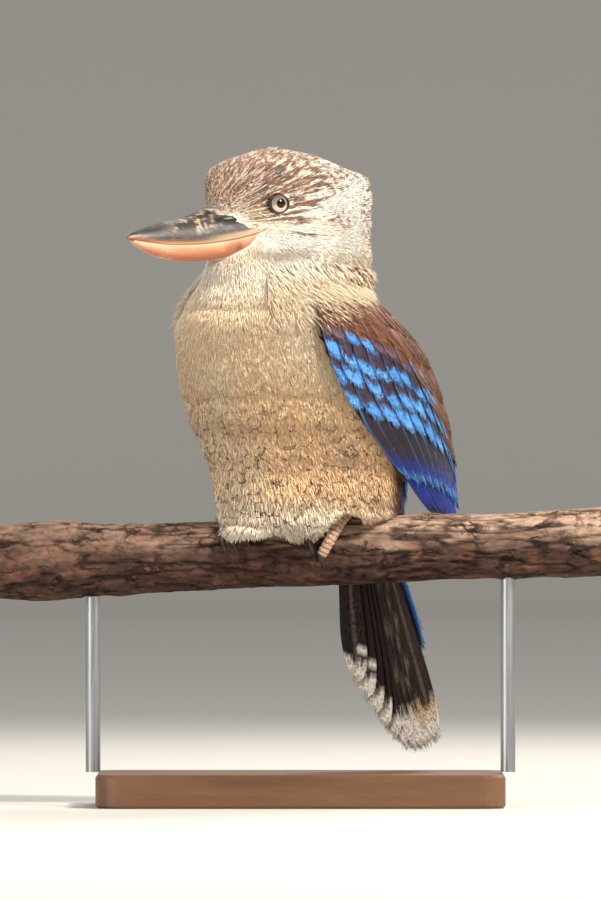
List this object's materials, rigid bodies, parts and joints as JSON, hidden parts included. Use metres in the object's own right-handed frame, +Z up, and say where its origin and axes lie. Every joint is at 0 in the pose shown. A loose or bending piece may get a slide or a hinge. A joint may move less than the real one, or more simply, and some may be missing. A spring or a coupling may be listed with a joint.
{
  "type": "blue-winged kookaburra",
  "caption": "Still life-size kookaburra gripping a cut length of branch, held over a flat base by two slim rods.",
  "frame": {"origin": "middle of the underside of the stand's base", "axes": "+Z up, along the longest extent; the branch runs along X; the bird looks towards -X and about 42 degrees towards -Y"},
  "size_m": [0.336, 0.1651, 0.3553],
  "materials": {
    "head_plumage": "soft cream feathers with brown shaft streaks",
    "breast_plumage": "soft buff feathers with thin wavy dark bars",
    "back_plumage": "soft brown feathers with paler edges",
    "wing_feathers": "sky-blue coverts over dark blue-edged flight feathers",
    "tail_feathers": "dark vanes with white tips and blue upper side",
    "upper_bill": "worn slate-black horn",
    "lower_bill": "orange-brown horn, cream at the mouth line",
    "eye": "pale iris with a round black pupil, wet gloss",
    "foot_skin": "scaly pinkish-tan skin",
    "claw": "dark polished horn",
    "bark": "rough brown bark with fissures and knots",
    "base_wood": "dark satin timber",
    "rod_steel": "brushed steel"
  },
  "bodies": {
    "root": {"head": "head_plumage", "eye_left": "eye", "eye_right": "eye", "upper_mandible": "upper_bill", "lower_mandible": "lower_bill", "neck": "head_plumage", "torso": "breast_plumage", "tail": "tail_feathers", "wing_left": "wing_feathers", "wing_right": "wing_feathers", "back": "back_plumage", "leg_left": "breast_plumage", "leg_right": "breast_plumage", "foot_left": "foot_skin", "foot_right": "foot_skin", "claw_left_inner": "claw", "claw_left_middle": "claw", "claw_left_outer": "claw", "claw_left_back": "claw", "claw_right_inner": "claw", "claw_right_middle": "claw", "claw_right_outer": "claw", "claw_right_back": "claw", "perch_branch": "bark", "stand_base": "base_wood", "stand_rod_left": "rod_steel", "stand_rod_right": "rod_steel"}
  },
  "joints": []
}
